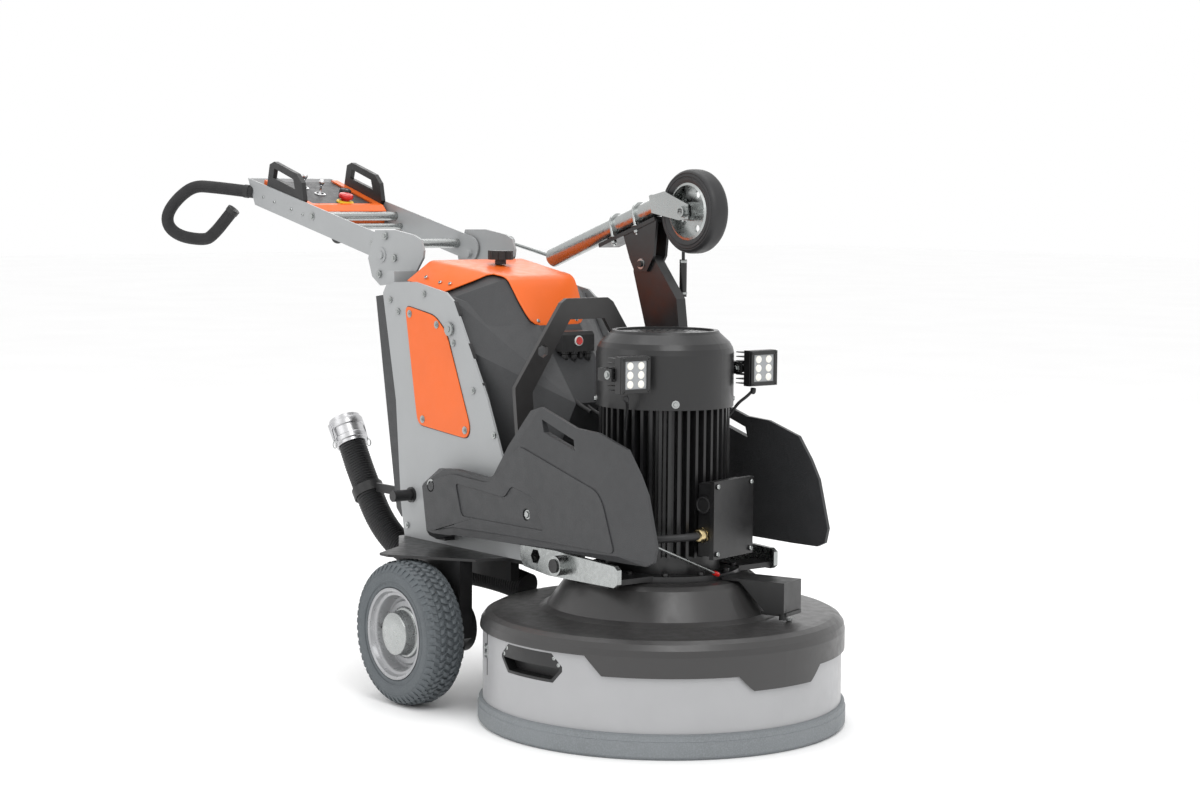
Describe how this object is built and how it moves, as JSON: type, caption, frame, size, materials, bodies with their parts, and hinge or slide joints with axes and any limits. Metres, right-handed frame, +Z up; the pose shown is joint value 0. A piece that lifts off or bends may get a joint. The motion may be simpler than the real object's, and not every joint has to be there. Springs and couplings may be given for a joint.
{
  "type": "floor grinder",
  "caption": "Walk-behind planetary concrete floor grinder: round grinding head with vertical motor, wheeled chassis, tilting handle with console, stowed transport wheel.",
  "frame": {"origin": "on the floor, under the middle of the whole machine's box", "axes": "+X forward, towards the grinding head; +Y to the machine's left; +Z up"},
  "size_m": [2.2684, 0.868, 1.2841],
  "materials": {
    "frame_paint": "satin light grey paint",
    "orange_paint": "satin orange paint",
    "dark_paint": "fine textured dark grey paint",
    "black_paint": "satin black paint",
    "dark_plastic": "grained dark grey plastic",
    "black_plastic": "matte black plastic",
    "red_plastic": "gloss red plastic",
    "zinc_steel": "zinc plated steel",
    "aluminium": "cast and machined aluminium",
    "cast_iron": "machined cast iron",
    "skirt_paint": "satin silver grey",
    "grey_rubber": "grey rubber",
    "tyre_rubber": "grey tyre rubber",
    "black_rubber": "black rubber",
    "grip_foam": "fine foam"
  },
  "bodies": {
    "chassis": {"side_plate_right": "frame_paint", "side_plate_left": "frame_paint", "window_panels": "orange_paint", "cabinet": "dark_paint", "rear_cover": "dark_paint", "top_cover": "orange_paint", "connector_block": "black_plastic", "lifting_hoop": "dark_paint", "side_panel_right": "dark_plastic", "side_panel_left": "dark_plastic", "deck_frame": "black_paint", "wheel_drives": "black_paint", "lashing_pins": "black_paint", "handle_mount": "frame_paint", "dust_hose": "black_rubber", "hose_coupling": "aluminium", "hose_clips": "black_plastic", "frame_bolts": "zinc_steel", "wheel_post": "black_paint"},
    "start_button": {"start_button": "red_plastic"},
    "star_knob": {"star_knob": "black_plastic"},
    "wheel_right": {"tyre_right": "tyre_rubber", "rim_right": "frame_paint"},
    "wheel_left": {"tyre_left": "tyre_rubber", "rim_left": "frame_paint"},
    "handle": {"handle_frame": "frame_paint", "cross_tubes": "zinc_steel", "console_box": "orange_paint", "console_panel": "dark_plastic", "console_guards": "black_plastic", "grips": "grip_foam"},
    "emergency_stop": {"emergency_stop": "red_plastic"},
    "speed_knob": {"speed_knob": "black_plastic"},
    "joystick_front": {"joystick_front": "zinc_steel"},
    "joystick_rear": {"joystick_rear": "zinc_steel"},
    "stow_arm": {"swing_plate": "black_paint", "wheel_tube": "zinc_steel", "swing_damper": "black_paint", "caster_fork": "zinc_steel"},
    "caster": {"caster_tyre": "black_rubber", "caster_rim": "zinc_steel"},
    "head": {"head_cover": "dark_paint", "head_pan": "black_paint", "link_arms": "zinc_steel", "motor_body": "black_paint", "fan_cowl": "black_paint", "terminal_box": "black_paint", "cables": "black_rubber", "front_bracket": "black_paint"},
    "lamp_right": {"lamp_right": "black_paint"},
    "lamp_left": {"lamp_left": "black_paint"},
    "skirt": {"skirt_band": "skirt_paint", "skirt_ring": "grey_rubber", "skirt_handles": "black_plastic"},
    "carrier": {"planet_carrier": "cast_iron", "belts": "black_rubber"},
    "rotor": {"rotor": "zinc_steel"},
    "satellite_1": {"tool_disc_1": "cast_iron"},
    "satellite_2": {"tool_disc_2": "cast_iron"},
    "satellite_3": {"tool_disc_3": "cast_iron"}
  },
  "joints": [
    {"name": "right_wheel_spin", "type": "hinge", "parent": "chassis", "child": "wheel_right", "pos_m": [0.2372, -0.384, 0.172], "axis": [0, 1, 0], "continuous": true},
    {"name": "left_wheel_spin", "type": "hinge", "parent": "chassis", "child": "wheel_left", "pos_m": [0.2372, 0.384, 0.172], "axis": [0, 1, 0], "continuous": true},
    {"name": "handle_tilt", "type": "hinge", "parent": "chassis", "child": "handle", "pos_m": [-0.2468, 0, 1.046], "axis": [0, 1, 0], "range_deg": [-10, 25]},
    {"name": "stop_press", "type": "slide", "parent": "handle", "child": "emergency_stop", "axis": [-0.2689, 0, -0.9632], "range_m": [0, 0.005], "stiffness_N_per_m": 1500},
    {"name": "speed_turn", "type": "hinge", "parent": "handle", "child": "speed_knob", "pos_m": [-0.73263, 0.052, 1.18926], "axis": [0.2689, 0, 0.9632], "range_deg": [-150, 150]},
    {"name": "joystick_front_tilt", "type": "hinge", "parent": "handle", "child": "joystick_front", "pos_m": [-0.75675, -0.012, 1.19602], "axis": [0, 1, 0], "range_deg": [-14, 14], "stiffness_Nm_per_rad": 0.4},
    {"name": "joystick_rear_tilt", "type": "hinge", "parent": "handle", "child": "joystick_rear", "pos_m": [-0.81464, -0.03, 1.21225], "axis": [0, 1, 0], "range_deg": [-14, 14], "stiffness_Nm_per_rad": 0.4},
    {"name": "button_press", "type": "slide", "parent": "chassis", "child": "start_button", "axis": [-1, 0, 0], "range_m": [0, 0.003], "stiffness_N_per_m": 800},
    {"name": "star_knob_turn", "type": "hinge", "parent": "chassis", "child": "star_knob", "pos_m": [0.0692, 0, 1.04], "axis": [0, 0, 1], "range_deg": [-180, 180]},
    {"name": "stow_arm_swing", "type": "hinge", "parent": "chassis", "child": "stow_arm", "pos_m": [0.4122, 0.2, 1.04], "axis": [0, 1, 0], "range_deg": [0, 30]},
    {"name": "caster_spin", "type": "hinge", "parent": "stow_arm", "child": "caster", "pos_m": [0.5742, 0.2, 1.169], "axis": [0, 1, 0], "continuous": true},
    {"name": "head_float", "type": "hinge", "parent": "chassis", "child": "head", "pos_m": [0.6412, 0, 0.371], "axis": [0, 1, 0], "range_deg": [-2, 2]},
    {"name": "lamp_right_tilt", "type": "hinge", "parent": "head", "child": "lamp_right", "pos_m": [0.7972, -0.19, 0.814], "axis": [0, 1, 0], "range_deg": [-15, 15]},
    {"name": "lamp_left_tilt", "type": "hinge", "parent": "head", "child": "lamp_left", "pos_m": [0.7972, 0.19, 0.814], "axis": [0, 1, 0], "range_deg": [-15, 15]},
    {"name": "skirt_lift", "type": "slide", "parent": "head", "child": "skirt", "axis": [0, 0, 1], "range_m": [0, 0.012]},
    {"name": "carrier_spin", "type": "hinge", "parent": "head", "child": "carrier", "pos_m": [0.7092, 0, 0.17], "axis": [0, 0, 1], "continuous": true},
    {"name": "rotor_spin", "type": "hinge", "parent": "carrier", "child": "rotor", "pos_m": [0.7092, 0, 0.17], "axis": [0, 0, 1], "continuous": true},
    {"name": "disc_1_spin", "type": "hinge", "parent": "carrier", "child": "satellite_1", "pos_m": [0.9712, 0, 0.1], "axis": [0, 0, 1], "continuous": true},
    {"name": "disc_2_spin", "type": "hinge", "parent": "carrier", "child": "satellite_2", "pos_m": [0.5782, 0.2269, 0.1], "axis": [0, 0, 1], "continuous": true},
    {"name": "disc_3_spin", "type": "hinge", "parent": "carrier", "child": "satellite_3", "pos_m": [0.5782, -0.2269, 0.1], "axis": [0, 0, 1], "continuous": true}
  ],
  "couplings": [
    {"joint": "disc_1_spin", "follows": "rotor_spin", "ratio": 1},
    {"joint": "disc_2_spin", "follows": "rotor_spin", "ratio": 1},
    {"joint": "disc_3_spin", "follows": "rotor_spin", "ratio": 1}
  ]
}
